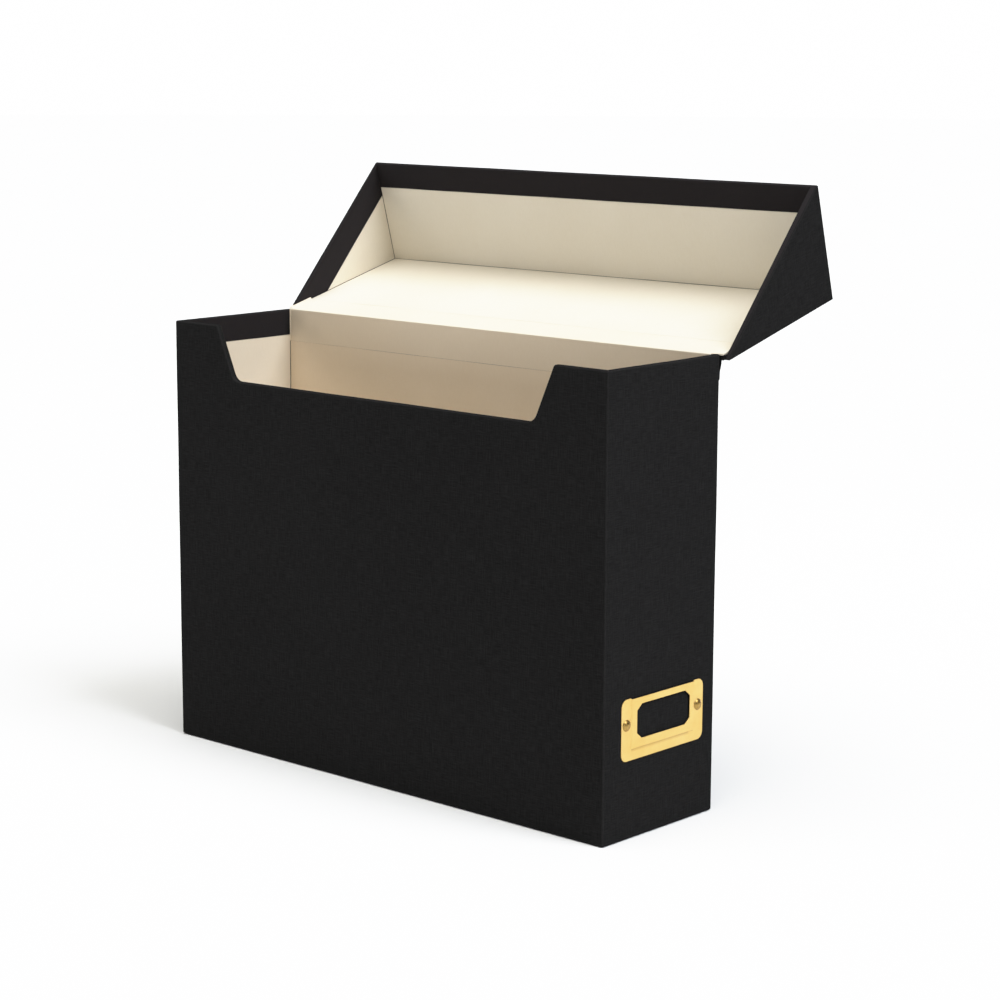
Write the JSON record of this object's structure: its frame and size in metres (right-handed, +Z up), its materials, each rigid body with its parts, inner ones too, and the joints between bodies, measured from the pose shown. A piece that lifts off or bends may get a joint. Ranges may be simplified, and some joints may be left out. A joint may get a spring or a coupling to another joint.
{
  "type": "archival document box",
  "caption": "Upright cloth-covered document box with a front finger scoop, a cloth-hinged lid with a deep front flap, cream paper lining and a brass label frame on one end.",
  "frame": {"origin": "centre of the base, on the surface the box stands on", "axes": "+X along the box towards the end with the label frame, +Y from the scooped front wall to the hinge at the back, +Z up"},
  "size_m": [0.354, 0.1984, 0.3521],
  "materials": {
    "black_book_cloth": "matte",
    "cream_paper": "matte",
    "greyboard": "matte",
    "brass_sheet": "satin",
    "pin_metal": "satin"
  },
  "bodies": {
    "body": {"front_board": "greyboard", "back_board": "greyboard", "left_end_board": "greyboard", "right_end_board": "greyboard", "base_board": "greyboard", "body_cover": "black_book_cloth", "base_cover": "black_book_cloth", "front_lining": "cream_paper", "back_lining": "cream_paper", "left_lining": "cream_paper", "right_lining": "cream_paper", "base_lining": "cream_paper", "hinge_cloth": "black_book_cloth", "hinge_liner": "cream_paper", "label_frame": "brass_sheet", "label_pins": "pin_metal"},
    "lid": {"lid_top_board": "greyboard", "lid_front_board": "greyboard", "lid_left_board": "greyboard", "lid_right_board": "greyboard", "lid_cover": "black_book_cloth", "lid_top_lining": "cream_paper", "lid_front_lining": "cream_paper", "lid_left_lining": "cream_paper", "lid_right_lining": "cream_paper"}
  },
  "joints": [
    {"name": "lid_hinge", "type": "hinge", "parent": "body", "child": "lid", "pos_m": [0, 0.0485, 0.262], "axis": [1, 0, 0], "range_deg": [0, 164.7], "deforming": ["hinge_cloth", "hinge_liner"]}
  ]
}
